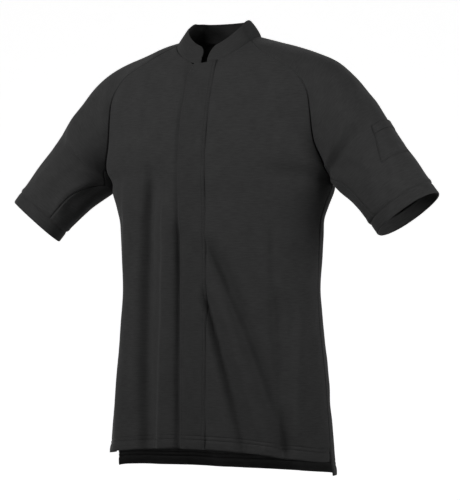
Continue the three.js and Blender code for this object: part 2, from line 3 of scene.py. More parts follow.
import bpy
import numpy as np
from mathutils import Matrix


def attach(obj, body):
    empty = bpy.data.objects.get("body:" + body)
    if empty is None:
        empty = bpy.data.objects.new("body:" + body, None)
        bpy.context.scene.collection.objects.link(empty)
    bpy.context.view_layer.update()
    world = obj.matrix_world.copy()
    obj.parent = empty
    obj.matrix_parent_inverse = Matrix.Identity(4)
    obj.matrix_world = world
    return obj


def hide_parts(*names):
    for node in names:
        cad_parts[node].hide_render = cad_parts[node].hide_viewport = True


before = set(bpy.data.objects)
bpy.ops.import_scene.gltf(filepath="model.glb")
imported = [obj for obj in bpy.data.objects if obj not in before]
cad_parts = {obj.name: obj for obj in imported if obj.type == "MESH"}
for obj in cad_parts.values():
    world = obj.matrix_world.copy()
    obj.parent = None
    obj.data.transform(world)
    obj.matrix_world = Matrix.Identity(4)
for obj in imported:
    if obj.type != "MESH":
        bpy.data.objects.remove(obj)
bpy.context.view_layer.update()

# ---------------------------------------------------------------------------------------------------------
# Camera, floor, backdrop and light
# A plain studio: pale floor, a white wall some way behind, and three soft lights near the jacket, as the
# camera sees it: one to the left a little above the neck, one higher up to the left, and one to the right at
# shoulder height. Everything is in metres, +Z up, and the front of the jacket is towards -Y.
# ---------------------------------------------------------------------------------------------------------
AZIMUTH = math.radians(26)
DISTANCE = 3.0
CAMERA_HEIGHT = -0.443
SENSOR_WIDTH_MM = 36
LENS_MM = 123.43
FRAMING_SHIFT = (0.018, 0.08)
toward_camera = np.array([math.sin(AZIMUTH), -math.cos(AZIMUTH), 0.0])
to_the_right = np.array([math.cos(AZIMUTH), math.sin(AZIMUTH), 0.0])

camera_data = bpy.data.cameras.new("camera")
camera_data.sensor_width = SENSOR_WIDTH_MM
camera_data.lens = LENS_MM
camera_data.shift_x, camera_data.shift_y = FRAMING_SHIFT
camera = bpy.data.objects.new("camera", camera_data)
camera.location = (DISTANCE * toward_camera[0], DISTANCE * toward_camera[1], CAMERA_HEIGHT)
camera.rotation_euler = (math.radians(90), 0, AZIMUTH)
bpy.context.collection.objects.link(camera)
bpy.context.scene.camera = camera


def plain_material(name, color, glow=0.0):
    """A matt colour, with a glow of its own if wanted."""
    material = bpy.data.materials.new(name)
    material.use_nodes = True
    shader = material.node_tree.nodes["Principled BSDF"]
    shader.inputs["Base Color"].default_value = (*color, 1)
    shader.inputs["Roughness"].default_value = 0.9
    shader.inputs["Specular IOR Level"].default_value = 0.2
    shader.inputs["Emission Color"].default_value = (1, 1, 1, 1)
    shader.inputs["Emission Strength"].default_value = glow
    return material


def flat_object(name, corners, material):
    """One four-sided face."""
    mesh = bpy.data.meshes.new(name)
    mesh.from_pydata([tuple(float(v) for v in c) for c in corners], [], [(0, 1, 2, 3)])
    mesh.materials.append(material)
    made = bpy.data.objects.new(name, mesh)
    bpy.context.collection.objects.link(made)


FLOOR_HEIGHT = -1.45
FLOOR_HALF_WIDTH = 9
FLOOR_COLOR = (0.65, 0.65, 0.65)
WALL_BEHIND = 4.4
WALL_HALF_WIDTH = 6.0
WALL_TOP = 5.0
WALL_COLOR = (0.8, 0.8, 0.8)
WALL_GLOW = 0.89
WORLD_STRENGTH = 0.01

floor_turns = ((-1, -1), (1, -1), (1, 1), (-1, 1))
floor_corners = [(FLOOR_HALF_WIDTH * x, FLOOR_HALF_WIDTH * y, FLOOR_HEIGHT) for x, y in floor_turns]
flat_object("floor", floor_corners, plain_material("floor", FLOOR_COLOR))
wall_middle = -WALL_BEHIND * toward_camera
wall_corners = [
    wall_middle - WALL_HALF_WIDTH * to_the_right + [0, 0, FLOOR_HEIGHT],
    wall_middle + WALL_HALF_WIDTH * to_the_right + [0, 0, FLOOR_HEIGHT],
    wall_middle + WALL_HALF_WIDTH * to_the_right + [0, 0, WALL_TOP],
    wall_middle - WALL_HALF_WIDTH * to_the_right + [0, 0, WALL_TOP],
]
flat_object("wall", wall_corners, plain_material("wall", WALL_COLOR, WALL_GLOW))


def soft_light(name, place, aim, size, power):
    """A square soft light at a place, turned to an aim."""
    data = bpy.data.lights.new(name, "AREA")
    data.shape = "SQUARE"
    data.size = size
    data.energy = power
    light = bpy.data.objects.new(name, data)
    place, aim = np.array(place, float), np.array(aim, float)
    down = aim - place
    light.location = place
    light.rotation_euler = (
        math.acos(-down[2] / np.linalg.norm(down)), 0, math.atan2(down[1], down[0]) - math.pi / 2
    )
    bpy.context.collection.objects.link(light)


CHEST = (0.0, 0.0, -0.25)
LIGHT_SIZE = 0.6
# Each light: its name, metres towards the camera, to the camera's right and up, and its watts.
LIGHTS = (
    ("left side", 0.7, -1.5, 0.25, 9.4),
    ("high", 1.2, -0.9, 0.9, 9.0),
    ("right side", 0.95, 1.0, -0.1, 6.4),
)
for name, ahead, sideways, height, watts in LIGHTS:
    place = toward_camera * ahead + to_the_right * sideways + [0, 0, height]
    soft_light(name, place, CHEST, LIGHT_SIZE, watts)

world = bpy.data.worlds.new("studio")
world.use_nodes = True
world.node_tree.nodes["Background"].inputs["Color"].default_value = (1, 1, 1, 1)
world.node_tree.nodes["Background"].inputs["Strength"].default_value = WORLD_STRENGTH
bpy.context.scene.world = world
bpy.context.scene.view_settings.view_transform = "Standard"

# ---------------------------------------------------------------------------------------------------------
# Left front
# One layer of charcoal cotton knit, cut from the fly band to the side seam and along the raglan seam to the
# neck. Its hem is turned up and sewn with a twin needle. It hangs in long soft folds from below the chest.
# ---------------------------------------------------------------------------------------------------------
MM = 0.001
CLOTH = 1.3 * MM
SEAM_LAP = 0.12 * MM
ARMPIT_AT = 0.57


def guide(names, *rows):
    """A table by column name. Lengths are given in millimetres, and stored in metres."""
    values = np.array(rows, float)
    plain = [n == "at" or n.startswith("dir") for n in names.split()]
    return {n: values[:, k] * (1 if plain[k] else MM) for k, n in enumerate(names.split())}


BODY_COLUMNS = "at mid_y mid_z edge_x edge_y edge_z dir_x dir_y dir_z mid_pull edge_pull"
FRONT = guide(
    BODY_COLUMNS,
    (0, -114, -712, 208, -6, -734, 0, 1, 0, 132, 66),
    (0.04, -114, -682, 206, 0, -702, 0, 1, 0, 130, 66),
    (0.165, -114, -590, 198, 0, -600, 0, 1, 0, 122, 66),
    (0.35, -112, -444, 184, 0, -447, 0, 1, 0, 114, 66),
    (0.49, -115, -325, 188, 0, -330, 0, 1, 0, 117, 68),
    (0.53, -116, -289, 197, 0, -297, 0, 1, 0, 121, 68),
    (0.57, -117, -252, 210, 0, -264, 0.1, 1, 0, 124, 62),
    (0.624, -116, -220, 209, -36, -232, 0.5, 0.85, 0, 116, 48),
    (0.687, -112, -184, 197, -53, -190, 0.68, 0.73, 0, 102, 46),
    (0.783, -101, -134, 189, -58, -116, 0.88, 0.46, 0.1, 84, 58),
    (0.846, -92, -106, 164, -59, -74, 0.86, 0.34, 0.38, 65, 54),
    (0.924, -82, -77, 112, -55, -42, 0.7, 0.42, 0.58, 44, 36),
    (1, -74, -54, 71, -28, -14, 0.15, 0.87, 0.46, 34, 26),
)


def read(table, key, at):
    """One column at many places: a cubic between each two rows, whose slope at a row is the harmonic mean of
    the slopes to both sides, or none at a peak."""
    x, y = table["at"], table[key]
    step = np.diff(y) / np.diff(x)
    product, total = step[:-1] * step[1:], step[:-1] + step[1:]
    inner = np.where(product > 0, 2 * product / np.where(product > 0, total, 1), 0)
    slope = np.concatenate([step[:1], inner, step[-1:]])
    i = np.clip(np.searchsorted(x, at, side="right") - 1, 0, len(x) - 2)
    span = x[i + 1] - x[i]
    t = np.clip((at - x[i]) / span, 0, 1)
    ends = y[i] * (1 + 2 * t) * (1 - t) ** 2 + y[i + 1] * t * t * (3 - 2 * t)
    return ends + span * (slope[i] * t * (1 - t) ** 2 - slope[i + 1] * t * t * (1 - t))


def read_vector(table, prefix, at):
    """Three columns, such as edge_x, edge_y and edge_z, as points."""
    return np.stack([read(table, f"{prefix}_{k}", at) for k in "xyz"], axis=-1)


def directions(table, at, pull):
    """The unit vectors of the columns dir_x, dir_y and dir_z, times a pull."""
    v = read_vector(table, "dir", at)
    return v / np.linalg.norm(v, axis=-1, keepdims=True) * read(table, pull, at)[..., None]


def bezier(a, b, c, d, t):
    """Cubic curve from a to d that leaves towards b and arrives from c, at shares t."""
    t = t[..., None]
    return a * (1 - t) ** 3 + 3 * b * t * (1 - t) ** 2 + 3 * c * t * t * (1 - t) + d * t ** 3


def body_form(table, at, share):
    """The front or back without folds: each row is a cubic that leaves the middle line straight sideways and
    ends at the side or raglan seam. share is signed, and its sign is the side."""
    zero = np.zeros_like(at)
    middle = np.stack([zero, read(table, "mid_y", at), read(table, "mid_z", at)], axis=-1)
    leaving = np.stack([read(table, "mid_pull", at), zero, zero], axis=-1)
    edge = read_vector(table, "edge", at)
    point = bezier(middle, middle + leaving, edge - directions(table, at, "edge_pull"), edge, np.abs(share))
    point[..., 0] *= np.where(share < 0, -1, 1)
    return point


def share_at_x(table, at, x):
    """The share of each row at which it is x metres from the middle line, by halving."""
    low, high = np.zeros_like(at), np.ones_like(at)
    for _ in range(24):
        half = (low + high) / 2
        inside = body_form(table, at, half)[..., 0] < x
        low, high = np.where(inside, half, low), np.where(inside, high, half)
    return (low + high) / 2


def smooth(t):
    """0 below 0, 1 above 1 and a smooth step between."""
    t = np.clip(t, 0, 1)
    return t * t * (3 - 2 * t)


def bell(distance, width):
    """1 at no distance, falling off as a bell."""
    return np.exp(-((distance / width) ** 2))


def spaced(start, end, step, close=()):
    """Values from start to end about step apart. Near each place in close, given as (place, reach, step),
    they are nearer together, and the place itself is one of them."""
    marks = [place + sign * reach for place, reach, _ in close for sign in (-1, 0, 1)]
    stops = sorted({start, end, *(mark for mark in marks if start < mark < end)})
    values = [start]
    for a, b in zip(stops, stops[1:]):
        middle = (a + b) / 2
        fine = min([s for p, r, s in close if abs(middle - p) < r] + [step])
        values += list(np.linspace(a, b, max(1, math.ceil((b - a) / fine)) + 1)[1:])
    return np.array(values)


def run(grid, axis):
    """Distance run along the rows (axis 1) or down the columns (axis 0) of a grid, from its first line."""
    step = np.linalg.norm(np.diff(grid, axis=axis), axis=-1)
    first = np.zeros_like(np.take(step, [0], axis=axis))
    return np.concatenate([first, np.cumsum(step, axis=axis)], axis=axis)


def outwards(grid, core):
    """Unit normals of a grid of points, on the side that looks away from a core point."""
    normal = np.cross(np.gradient(grid, axis=0), np.gradient(grid, axis=1))
    normal /= np.linalg.norm(normal, axis=-1, keepdims=True)
    facing = ((grid - np.array(core)) * normal).sum()
    return normal * np.sign(facing)


FOLD_SLOPES = (1.45, 0.8)


def fold_height(folds, x, z, lead=4.0, trail=1.5):
    """Sum of folds. Each is a bell across a bowed line, steeper on one side than on the other, fading in and
    out past its ends, with a width that changes along it. A row of folds gives, in millimetres, where it
    starts and ends (x, z), its bow, its depth (negative in a trough) and its width at the start and end."""
    height = np.zeros_like(x)
    for from_x, from_z, to_x, to_z, bow, depth, from_width, to_width in folds * MM:
        run_x, run_z = to_x - from_x, to_z - from_z
        length = math.hypot(run_x, run_z)
        along = ((x - from_x) * run_x + (z - from_z) * run_z) / length
        across = ((x - from_x) * run_z - (z - from_z) * run_x) / length
        t = np.clip(along / length, 0, 1)
        off_line = across - bow * 4 * t * (1 - t)
        width = (from_width + (to_width - from_width) * t) * np.where(off_line < 0, *FOLD_SLOPES)
        fade_in = smooth(0.5 + along / (2 * lead * from_width))
        fade_out = smooth(0.5 + (length - along) / (2 * trail * to_width))
        height += depth * bell(off_line, width) * (fade_in * fade_out)
    return height


def soft_hills(x, z, seed, size=0.0006):
    """A low, uneven swell of the cloth: a sum of waves with wavelengths of 35 to 120 mm in all directions."""
    random = np.random.default_rng(seed)
    height = np.zeros_like(x)
    for _ in range(14):
        wave, turn, start = random.uniform(0.035, 0.12), random.uniform(0, math.pi), random.uniform(0, 6.3)
        height += np.sin((x * math.cos(turn) + z * math.sin(turn)) * 2 * math.pi / wave + start) * wave / 0.12
    return height * size / 2


def seam_valley(distance, depth=1.5 * MM, reach=1.6 * MM):
    """The cloth rolls in towards a seam."""
    return -depth * bell(distance, reach)


def stitch_groove(distance, depth=0.8 * MM, reach=1.2 * MM):
    """Cloth drawn in under a row of stitches."""
    return -depth * bell(distance, reach)


def knit_material(name, color, streak=0.17):
    """Matt fine knit: a charcoal with thin streaks along the rows of stitches and a soft mottle, a bump of
    ribs and rows, and the faint sheen of its fibres. It follows the piece's own cloth coordinates, in
    metres."""
    material = bpy.data.materials.new(name)
    material.use_nodes = True
    nodes, links = material.node_tree.nodes, material.node_tree.links
    shader = nodes["Principled BSDF"]
    cloth = nodes.new("ShaderNodeUVMap")
    cloth.uv_map = "cloth"

    def noise(scale_u, scale_v, detail):
        stretch = nodes.new("ShaderNodeMapping")
        stretch.inputs["Scale"].default_value = (scale_u, scale_v, 1)
        links.new(cloth.outputs["UV"], stretch.inputs["Vector"])
        texture = nodes.new("ShaderNodeTexNoise")
        texture.inputs["Scale"].default_value = 1
        texture.inputs["Detail"].default_value = detail
        links.new(stretch.outputs["Vector"], texture.inputs["Vector"])
        return texture.outputs["Fac"]

    def ribs(direction, period):
        texture = nodes.new("ShaderNodeTexWave")
        texture.bands_direction = direction
        texture.inputs["Scale"].default_value = 2 * math.pi / (20 * period)
        texture.inputs["Distortion"].default_value = 0.6
        links.new(cloth.outputs["UV"], texture.inputs["Vector"])
        return texture.outputs["Fac"]

    def math_node(operation, a, b):
        node = nodes.new("ShaderNodeMath")
        node.operation = operation
        for socket, value in zip(node.inputs, (a, b)):
            if isinstance(value, (int, float)):
                socket.default_value = value
            else:
                links.new(value, socket)
        return node.outputs[0]

    streaks = math_node("MULTIPLY", math_node("SUBTRACT", noise(70, 480, 3), 0.5), 4 * streak)
    mottle = math_node("MULTIPLY", math_node("SUBTRACT", noise(42, 36, 4), 0.5), 0.32)
    shade = math_node("ADD", math_node("ADD", streaks, mottle), 1.0)
    tint = nodes.new("ShaderNodeVectorMath")
    tint.operation = "SCALE"
    tint.inputs[0].default_value = color
    links.new(shade, tint.inputs["Scale"])
    links.new(tint.outputs[0], shader.inputs["Base Color"])

    height = math_node("ADD", ribs("X", 1.3 * MM), ribs("Y", 1.0 * MM))
    height = math_node("ADD", height, math_node("MULTIPLY", noise(500, 900, 2), 1.6))
    bump = nodes.new("ShaderNodeBump")
    bump.inputs["Strength"].default_value = 0.5
    bump.inputs["Distance"].default_value = 0.16 * MM
    links.new(height, bump.inputs["Height"])
    links.new(bump.outputs["Normal"], shader.inputs["Normal"])
    shader.inputs["Roughness"].default_value = 0.88
    shader.inputs["Specular IOR Level"].default_value = 0.25
    shader.inputs["Sheen Weight"].default_value = 0.06
    shader.inputs["Sheen Roughness"].default_value = 0.45
    return material


KNIT = knit_material("knit", (0.041, 0.041, 0.041))
THREAD = plain_material("thread", (0.034, 0.034, 0.034))
RIM_SHARE = 0.3
RIM_FROM_ANGLE = math.radians(50)


def cloth_object(name, grid, normal, material, thickness=CLOTH, ring=False, cloth=None):
    """A shell from a grid of points on the cloth's outer side: its faces look outwards, and the thickness is
    added inwards. A piece thicker than one layer gets rounded rims. With ring, the last column joins the
    first. cloth gives the two cloth coordinates in metres."""
    rows, columns = grid.shape[:2]
    number = np.arange(rows * columns).reshape(rows, columns)
    right = np.roll(number, -1, axis=1) if ring else number[:, 1:]
    left = number if ring else number[:, :-1]
    faces = np.stack([left[:-1], left[1:], right[1:], right[:-1]], axis=-1).reshape(-1, 4)
    a, b, c = (grid.reshape(-1, 3)[faces[:, k]] for k in (0, 1, 2))
    turned = (np.cross(b - a, c - a) * normal.reshape(-1, 3)[faces[:, 0]]).sum() < 0
    faces = faces[:, ::-1] if turned else faces
    mesh = bpy.data.meshes.new(name)
    mesh.vertices.add(rows * columns)
    mesh.vertices.foreach_set("co", grid.reshape(-1))
    mesh.loops.add(faces.size)
    mesh.loops.foreach_set("vertex_index", faces.reshape(-1))
    mesh.polygons.add(len(faces))
    mesh.polygons.foreach_set("loop_start", np.arange(0, faces.size, 4))
    mesh.polygons.foreach_set("use_smooth", np.ones(len(faces), bool))
    if cloth is None:
        cloth = np.stack([run(grid, 1), -run(grid, 0)], axis=-1)
    flat = cloth.reshape(-1, 2)[faces.reshape(-1)]
    if ring:
        seam_faces = np.isin(faces, number[:, 0]).any(axis=1) & np.isin(faces, number[:, -1]).any(axis=1)
        wrap = np.repeat(seam_faces, 4) & np.isin(faces.reshape(-1), number[:, 0])
        flat[wrap, 0] += (run(grid, 1)[:, -1] + np.linalg.norm(grid[:, 0] - grid[:, -1], axis=-1)).mean()
    mesh.uv_layers.new(name="cloth").data.foreach_set("uv", flat.reshape(-1))
    mesh.materials.append(material)
    mesh.update()
    mesh.validate()
    made = bpy.data.objects.new(name, mesh)
    bpy.context.collection.objects.link(made)
    wall = made.modifiers.new("thickness", "SOLIDIFY")
    wall.thickness = thickness
    wall.offset = -1
    if thickness > CLOTH:
        rim = made.modifiers.new("rounded rim", "BEVEL")
        rim.width = RIM_SHARE * thickness
        rim.segments = 2
        rim.limit_method = "ANGLE"
        rim.angle_limit = RIM_FROM_ANGLE
    return made


def lapped(grid, first=False, last=False, left=False, right=False):
    """The grid with its sewn edges moved a little past the seam, so that no light shows through it."""
    grid = grid.copy()
    for wanted, edge, inner in (
        (first, np.s_[0], np.s_[1]), (last, np.s_[-1], np.s_[-2]),
        (left, np.s_[:, 0], np.s_[:, 1]), (right, np.s_[:, -1], np.s_[:, -2]),
    ):
        if wanted:
            step = grid[inner] - grid[edge]
            grid[edge] -= SEAM_LAP * step / np.linalg.norm(step, axis=-1, keepdims=True)
    return grid


BEAD_STATIONS = 5
BEAD_SIDES = 6
BEAD_FIRST_END = ([0, 3, 2, 1], [3, 0, 5, 4])
BEAD_LAST_END = ([0, 1, 2, 3], [3, 4, 5, 0])


def stitches(name, lines, length=2.7 * MM, gap=0.9 * MM, radius=0.26 * MM, sink=0.05 * MM):
    """Rows of stitches: each line is (points, normals) along the cloth. Each stitch is a small six-sided bead
    as long as length, whose ends dip into the cloth. Two four-sided faces close each end."""
    beads, faces, count = [], [], 0
    stations = np.linspace(0, 1, BEAD_STATIONS)
    arch = np.sin(stations * math.pi)
    fat = 0.35 + 0.65 * arch ** 0.5
    angle = np.arange(BEAD_SIDES) * 2 * math.pi / BEAD_SIDES
    for points, normal in lines:
        far = np.concatenate([[0], np.cumsum(np.linalg.norm(np.diff(points, axis=0), axis=1))])
        starts = np.arange(gap, far[-1] - length, length + gap)
        at = starts[:, None] + stations * length
        middle = np.stack([np.interp(at, far, points[:, k]) for k in range(3)], axis=-1)
        up = np.stack([np.interp(at, far, normal[:, k]) for k in range(3)], axis=-1)
        up /= np.linalg.norm(up, axis=-1, keepdims=True)
        ahead = (middle[:, -1] - middle[:, 0])[:, None]
        side = np.cross(ahead / np.linalg.norm(ahead, axis=-1, keepdims=True), up)
        middle = middle + up * (radius * (2 * arch - 1) * 0.8 - sink)[None, :, None]
        ring = (np.cos(angle)[:, None] * side[..., None, :] + np.sin(angle)[:, None] * up[..., None, :])
        bead = middle[..., None, :] + ring * (radius * fat)[None, :, None, None]
        beads.append(bead.reshape(-1, 3))
        points_added = bead.shape[0] * BEAD_STATIONS * BEAD_SIDES
        number = count + np.arange(points_added).reshape(-1, BEAD_STATIONS, BEAD_SIDES)
        after = np.roll(number, -1, axis=2)
        sides = [number[:, :-1], after[:, :-1], after[:, 1:], number[:, 1:]]
        faces.append(np.stack(sides, axis=-1).reshape(-1, 4))
        faces += [number[:, 0][:, half] for half in BEAD_FIRST_END]
        faces += [number[:, -1][:, half] for half in BEAD_LAST_END]
        count += points_added
    faces = np.concatenate(faces)
    mesh = bpy.data.meshes.new(name)
    mesh.from_pydata(np.concatenate(beads), [], faces)
    mesh.polygons.foreach_set("use_smooth", np.ones(len(faces), bool))
    mesh.materials.append(THREAD)
    mesh.update()
    made = bpy.data.objects.new(name, mesh)
    bpy.context.collection.objects.link(made)
    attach(made, "root")
    return made


CHORD_ENDS = np.linspace(0, 1, 25)[:, None, None]


def body_across(table, at, share):
    """Distance along the row from the middle line to a share, as the sum of short chords, with the share's
    sign."""
    points = body_form(table, np.broadcast_to(at, (len(CHORD_ENDS), *share.shape)), CHORD_ENDS * share)
    return np.linalg.norm(np.diff(points, axis=0), axis=-1).sum(axis=0) * np.sign(share)


def body_surface(table, folds, at, share, seed, lift=0.0):
    """The front or back at each (at, share): its form moved out by folds and soft hills, which die away
    towards the raglan and side seams and the neck, plus a lift."""
    at, share = np.broadcast_arrays(at, share)
    form = body_form(table, at, share)
    x, z = body_across(table, at, share), form[..., 2]
    calm = smooth((1 - np.abs(share)) / 0.14) * smooth((1 - at) / 0.1)
    height = (fold_height(folds, x, z) + soft_hills(x, z, seed)) * calm + lift
    normal = outwards(form, (0, 0, -0.4))
    return form + normal * height[..., None], normal


def hem_relief(down, puckers=(), x=None):
    """Height near a turned-up hem, by the distance above its edge: two grooves where the needles pass, the
    double cloth a little fuller below them, the edge rounded, and a few short puckers, each given as its x
    in millimetres and its strength."""
    height = stitch_groove(down - HEM_LINES[0]) + stitch_groove(down - HEM_LINES[1])
    height += 0.5 * MM * smooth((HEM_LINES[0] - down) / (5 * MM)) * smooth(down / (5 * MM))
    for place, strength in puckers:
        slanted = x - place * MM - 0.35 * (down - 8 * MM)
        across_pucker = bell(slanted - 2.4 * MM, 2.4 * MM) - bell(slanted + 2.0 * MM, 2.2 * MM)
        height += 1.6 * strength * MM * across_pucker * bell(down - 9 * MM, 8 * MM)
    return height


NECK_VALLEY = 0.5 * MM
HEM_LINES = (16 * MM, 22.5 * MM)
HEM_FINE = [(line / 0.75, 2.2 * MM / 0.75, 0.8 * MM / 0.75) for line in HEM_LINES]
# A grid step is a share of the piece's length or width: the distance between points over the whole.
BODY_STEP = 2.7 * MM / 0.66
BAND_HALF_WIDTH = 25 * MM
LEFT_FRONT_STEP = 2.7 / 230
EDGE_FINE = [(0.0, 0.04, 0.005), (1.0, 0.04, 0.005)]
FRONT_FOLDS = np.array([
    (33, -376, 168, -728, -6, -13.0, 9, 14),
    (58, -480, 136, -728, 0, 5.0, 8, 13),
    (20, -452, 92, -724, -3, -13.0, 7, 12),
    (146, -460, 162, -722, 0, -5.5, 9, 12),
    (190, -480, 178, -722, 0, 6.5, 11, 14),
    (140, -352, 141, -520, 0, -2.4, 6, 7),
    (111, -300, 102, -420, 0, -1.3, 8, 9),
    (-86, -250, -94, -726, 12, -14.0, 13, 16),
    (-50, -290, -62, -726, 0, 8.0, 9, 12),
    (-29, -330, -29, -726, 0, -6.5, 6, 9),
    (-150, -280, -176, -726, 4, 5.5, 16, 20),
    (184, -120, 146, -124, 4, -1.4, 5, 4),
    (190, -150, 150, -160, 3, -1.1, 5, 4),
    (112, -66, 58, -104, 0, 1.2, 5, 6),
    (60, -290, 150, -300, 5, -1.0, 18, 14),
    (-60, -262, -140, -300, 4, -1.0, 14, 12),
])

at = spaced(0, 1, BODY_STEP, HEM_FINE)[:, None]
start = share_at_x(FRONT, at, BAND_HALF_WIDTH)
t = spaced(0, 1, LEFT_FRONT_STEP, EDGE_FINE)[None]
share = start + (1 - start) * t
grid, normal = body_surface(FRONT, FRONT_FOLDS, at, share, seed=3)
down, across = run(grid, 0), run(grid, 1)
to_seam, to_neck = across[:, -1:] - across, down[-1:] - down
x = body_across(FRONT, *np.broadcast_arrays(at, share))
relief = seam_valley(to_seam) + seam_valley(to_neck, NECK_VALLEY) + seam_valley(across, 0.8 * MM, 2.0 * MM)
relief += hem_relief(down, [(27, 0.7), (101, 1.0), (124, 0.8)], x)
collar_fold = bell(across - 3 * MM - 0.2 * to_neck, 3.4 * MM) * smooth(1 - to_neck / (34 * MM))
relief += -2.4 * MM * collar_fold * smooth(to_neck / (2 * MM))
grid = grid + normal * relief[..., None]
grid = lapped(grid, left=True, right=True, last=True)
front_left = cloth_object("left_front", grid, normal, KNIT, cloth=np.stack([x, grid[..., 2]], axis=-1))
left_hem_rows = [np.abs(down[:, 0] - line).argmin() for line in HEM_LINES]
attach(front_left, "root")
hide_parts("front_left")
left_front_lines = [(grid[i], normal[i]) for i in left_hem_rows]
left_front_stitches = stitches("left_front_stitching", left_front_lines)

# ---------------------------------------------------------------------------------------------------------
# Right front
# The same knit. Its front edge steps back and runs on behind the fly band as the underlap that carries the
# studs' lower halves. Its hem is sewn with the same twin needle.
# ---------------------------------------------------------------------------------------------------------
UNDERLAP_PAST_CENTRE = 17 * MM
UNDERLAP_DROP = 2.1 * MM
UNDERLAP_SLOPE_WIDTH = 12 * MM
UNDERLAP_BELOW_NECK = 0.008
RIGHT_FRONT_STEP = 2.7 / 215

at = spaced(0, 1, BODY_STEP, HEM_FINE)[:, None]
lap = share_at_x(FRONT, at, UNDERLAP_PAST_CENTRE)
edge = share_at_x(FRONT, at, BAND_HALF_WIDTH)
step = share_at_x(FRONT, at, BAND_HALF_WIDTH + UNDERLAP_SLOPE_WIDTH)
behind = lap + (-edge - lap) * np.linspace(0, 1, 10)[None, :-1]
sloping = -edge + (edge - step) * np.linspace(0, 1, 9)[None, :-1]
rest = -step - (1 - step) * spaced(0, 1, RIGHT_FRONT_STEP, EDGE_FINE[1:])[None]
share = np.concatenate([behind, sloping, rest], axis=1)
sunk = smooth((share + step) / (step - edge))
lowered = at - UNDERLAP_BELOW_NECK * smooth((at - 0.9) / 0.1) * (share > -edge)
grid, normal = body_surface(FRONT, FRONT_FOLDS, lowered, share, seed=5, lift=-UNDERLAP_DROP * sunk)
down, across = run(grid, 0), run(grid, 1)
to_seam, to_neck = across[:, -1:] - across, down[-1:] - down
x = body_across(FRONT, *np.broadcast_arrays(at, share))
relief = (seam_valley(to_seam) + seam_valley(to_neck, NECK_VALLEY)) * (1 - sunk)
relief += hem_relief(down, [(-84, 0.9), (-70, 0.5)], x) * (1 - sunk)
grid = grid + normal * relief[..., None]
grid = lapped(grid, right=True, last=True)
front_right = cloth_object("right_front", grid, normal, KNIT, cloth=np.stack([x, grid[..., 2]], axis=-1))
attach(front_right, "root")
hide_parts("front_right")
seen = np.s_[behind.shape[1] + 3:]
right_front_lines = [
    (grid[i][seen], normal[i][seen]) for i in (np.abs(down[:, -1] - line).argmin() for line in HEM_LINES)
]
right_front_stitches = stitches("right_front_stitching", right_front_lines)

# ---------------------------------------------------------------------------------------------------------
# Fly band
# Two layers of the knit, 50 mm wide, folded at the free edge and sewn to the left front with two rows. The
# studs under it show as faint bumps.
# ---------------------------------------------------------------------------------------------------------
DOUBLE_CLOTH = 2.0 * MM
BAND_PROUD = 0.7 * MM
BAND_DRAWN_IN = 0.4
BAND_DRAWN_FROM = 0.9
BAND_ROWS = (1.4 * MM, 5.2 * MM)
BAND_STEP = 0.045
BAND_FINE = [
    (0.0, 0.12, 0.018), (1 - BAND_ROWS[1] / (2 * BAND_HALF_WIDTH), 0.05, 0.014), (1.0, 0.06, 0.014),
]
STUD_HEIGHTS = (-0.086, -0.189, -0.315, -0.441, -0.566)
STUD_FROM_FOLD = 22 * MM
STUD_BUMP, STUD_BUMP_RADIUS = 0.75 * MM, 6.5 * MM
STUD_DIP, STUD_DIP_RADIUS, STUD_DIP_WIDTH = 0.25 * MM, 9 * MM, 3 * MM
BAND_KNIT = knit_material("band knit", (0.038, 0.038, 0.038))

at = spaced(0, 1, BODY_STEP, HEM_FINE)[:, None]
edge = share_at_x(FRONT, at, BAND_HALF_WIDTH)
t = spaced(0, 1, BAND_STEP, BAND_FINE)[None]
free = edge * (1 - BAND_DRAWN_IN * smooth((at - BAND_DRAWN_FROM) / (1 - BAND_DRAWN_FROM)))
share = -free + (edge + free) * t
grid, normal = body_surface(FRONT, FRONT_FOLDS, at, share, seed=3, lift=BAND_PROUD)
down, across = run(grid, 0), run(grid, 1)
from_sewn, to_neck = across[:, -1:] - across, down[-1:] - down
z = grid[..., 2]
relief = 0.55 * MM * bell(across - 1.6 * MM, 1.8 * MM) - 0.7 * MM * bell(across, 0.9 * MM)
relief += stitch_groove(from_sewn - BAND_ROWS[0], 0.35 * MM)
relief += stitch_groove(from_sewn - BAND_ROWS[1], 0.5 * MM)
relief += -0.6 * MM * bell(from_sewn, 0.8 * MM) + seam_valley(to_neck, NECK_VALLEY)
for height in STUD_HEIGHTS:
    away = np.hypot(across - STUD_FROM_FOLD, z - height)
    relief += STUD_BUMP * bell(away, STUD_BUMP_RADIUS)
    relief -= STUD_DIP * bell(away - STUD_DIP_RADIUS, STUD_DIP_WIDTH)
relief += soft_hills(3 * across, z, seed=8, size=0.0005) + hem_relief(down)
grid = grid + normal * relief[..., None]
grid = lapped(grid, right=True, last=True)
fly_band = cloth_object(
    "front_band", grid, normal, BAND_KNIT, DOUBLE_CLOTH, cloth=np.stack([across, z], axis=-1)
)
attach(fly_band, "root")
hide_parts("fly_band")
rows = [np.abs(from_sewn[0] - line).argmin() for line in BAND_ROWS]
band_lines = [(grid[:, j], normal[:, j]) for j in rows]
band_lines += [(grid[i], normal[i]) for i in (np.abs(down[:, 0] - line).argmin() for line in HEM_LINES)]
band_stitches = stitches("front_band_stitching", band_lines)

